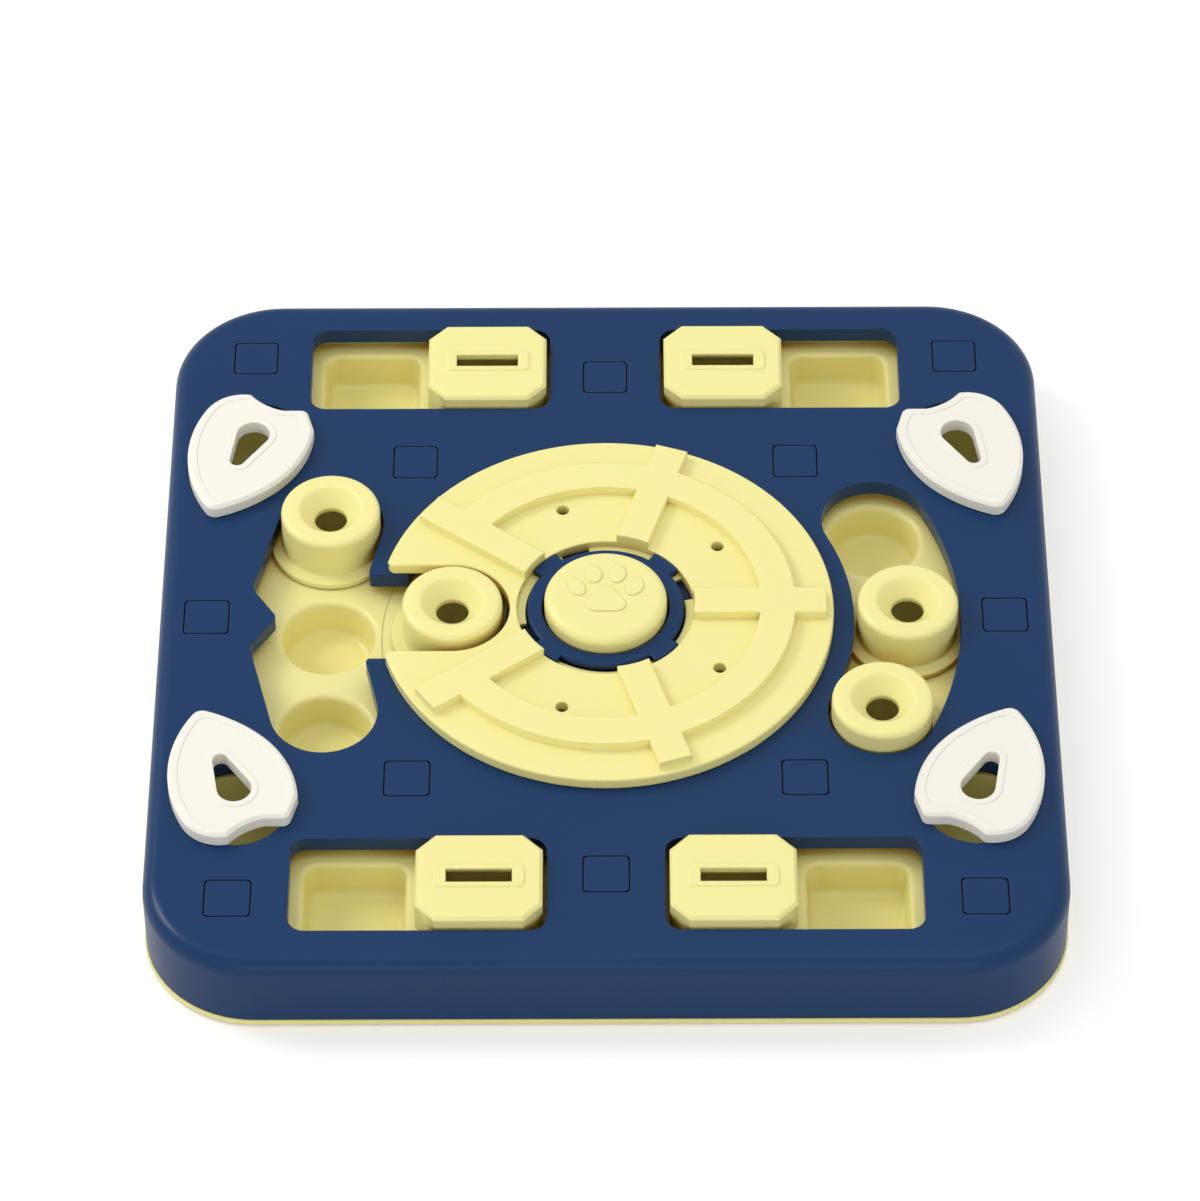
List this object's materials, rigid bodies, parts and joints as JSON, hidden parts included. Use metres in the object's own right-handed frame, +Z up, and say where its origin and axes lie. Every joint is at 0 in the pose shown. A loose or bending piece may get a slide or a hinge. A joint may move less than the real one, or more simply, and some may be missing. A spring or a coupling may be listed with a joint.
{
  "type": "dog puzzle feeder toy",
  "caption": "Square treat puzzle board with sliding lids, guided round pucks, swivelling corner flaps, a notched turning wheel and a centre press button over hidden cups.",
  "frame": {"origin": "centre of the board at the underside of the rubber feet", "axes": "+Z up, +X to the player's right, +Y away from the player; the wheel's notch faces -X at rest"},
  "size_m": [0.275, 0.275, 0.038],
  "materials": {
    "navy_plastic": "satin moulded plastic, navy",
    "cream_plastic": "satin moulded plastic, pale cream yellow",
    "white_plastic": "satin moulded plastic, warm white",
    "screw_steel": "plated steel",
    "foot_rubber": "soft dark rubber",
    "squeaker_rubber": "thin soft rubber"
  },
  "bodies": {
    "board": {"base_pan": "cream_plastic", "top_cover": "navy_plastic", "cover_plugs": "navy_plastic", "cover_screws": "screw_steel", "hub_screws": "screw_steel", "rubber_feet": "foot_rubber", "centre_hub": "navy_plastic", "maze_tray": "cream_plastic", "kidney_tray": "cream_plastic", "wheel_tray": "cream_plastic", "squeaker": "squeaker_rubber", "slot_tray_1": "cream_plastic", "slot_tray_2": "cream_plastic", "slot_tray_3": "cream_plastic", "slot_tray_4": "cream_plastic", "corner_cup_1": "cream_plastic", "corner_cup_2": "cream_plastic", "corner_cup_3": "cream_plastic", "corner_cup_4": "cream_plastic"},
    "slider_1": {"slider_1": "cream_plastic"},
    "slider_2": {"slider_2": "cream_plastic"},
    "slider_3": {"slider_3": "cream_plastic"},
    "slider_4": {"slider_4": "cream_plastic"},
    "flap_1": {"flap_1": "white_plastic", "flap_washer_1": "screw_steel", "flap_screw_1": "screw_steel"},
    "flap_2": {"flap_2": "white_plastic", "flap_washer_2": "screw_steel", "flap_screw_2": "screw_steel"},
    "flap_3": {"flap_3": "white_plastic", "flap_washer_3": "screw_steel", "flap_screw_3": "screw_steel"},
    "flap_4": {"flap_4": "white_plastic", "flap_washer_4": "screw_steel", "flap_screw_4": "screw_steel"},
    "wheel": {"wheel": "cream_plastic"},
    "notch_puck": {"notch_puck": "cream_plastic"},
    "maze_puck": {"maze_puck": "cream_plastic"},
    "kidney_puck_1": {"kidney_puck_1": "cream_plastic"},
    "kidney_puck_2": {"kidney_puck_2": "cream_plastic"},
    "button": {"paw_button": "cream_plastic"}
  },
  "joints": [
    {"name": "slider_1_slide", "type": "slide", "parent": "board", "child": "slider_1", "axis": [1, 0, 0], "range_m": [0, 0.0361]},
    {"name": "slider_2_slide", "type": "slide", "parent": "board", "child": "slider_2", "axis": [-1, 0, 0], "range_m": [0, 0.0361]},
    {"name": "slider_3_slide", "type": "slide", "parent": "board", "child": "slider_3", "axis": [-1, 0, 0], "range_m": [0, 0.0361]},
    {"name": "slider_4_slide", "type": "slide", "parent": "board", "child": "slider_4", "axis": [1, 0, 0], "range_m": [0, 0.0361]},
    {"name": "flap_1_swivel", "type": "hinge", "parent": "board", "child": "flap_1", "pos_m": [0.1194, 0.0505, 0.0283], "axis": [0, 0, -1], "range_deg": [-5, 80]},
    {"name": "flap_2_swivel", "type": "hinge", "parent": "board", "child": "flap_2", "pos_m": [-0.1194, 0.0505, 0.0283], "axis": [0, 0, 1], "range_deg": [-5, 80]},
    {"name": "flap_3_swivel", "type": "hinge", "parent": "board", "child": "flap_3", "pos_m": [-0.1194, -0.0505, 0.0283], "axis": [0, 0, -1], "range_deg": [-5, 80]},
    {"name": "flap_4_swivel", "type": "hinge", "parent": "board", "child": "flap_4", "pos_m": [0.1194, -0.0505, 0.0283], "axis": [0, 0, 1], "range_deg": [-5, 80]},
    {"name": "wheel_turn", "type": "hinge", "parent": "board", "child": "wheel", "pos_m": [0, 0, 0.0284], "axis": [0, 0, 1], "range_deg": [-360, 360]},
    {"name": "notch_puck_slide", "type": "slide", "parent": "wheel", "child": "notch_puck", "axis": [-1, 0, 0], "range_m": [0, 0.0384]},
    {"name": "maze_puck_swing", "type": "hinge", "parent": "board", "child": "maze_puck", "pos_m": [-0.04423, 0.02061, 0.0188], "axis": [0, 0, -1], "range_deg": [-47.81, 0]},
    {"name": "kidney_puck_1_arc", "type": "hinge", "parent": "board", "child": "kidney_puck_1", "pos_m": [0, 0, 0.0188], "axis": [0, 0, 1], "range_deg": [0, 25.5]},
    {"name": "kidney_puck_2_arc", "type": "hinge", "parent": "board", "child": "kidney_puck_2", "pos_m": [0, 0, 0.0188], "axis": [0, 0, 1], "range_deg": [0, 25.5]},
    {"name": "button_press", "type": "slide", "parent": "board", "child": "button", "axis": [0, 0, -1], "range_m": [0, 0.0035], "stiffness_N_per_m": 600, "springref_m": -0.001, "deforming": ["squeaker"]}
  ],
  "couplings": [
    {"joint": "kidney_puck_2_arc", "follows": "kidney_puck_1_arc", "ratio": 1}
  ]
}
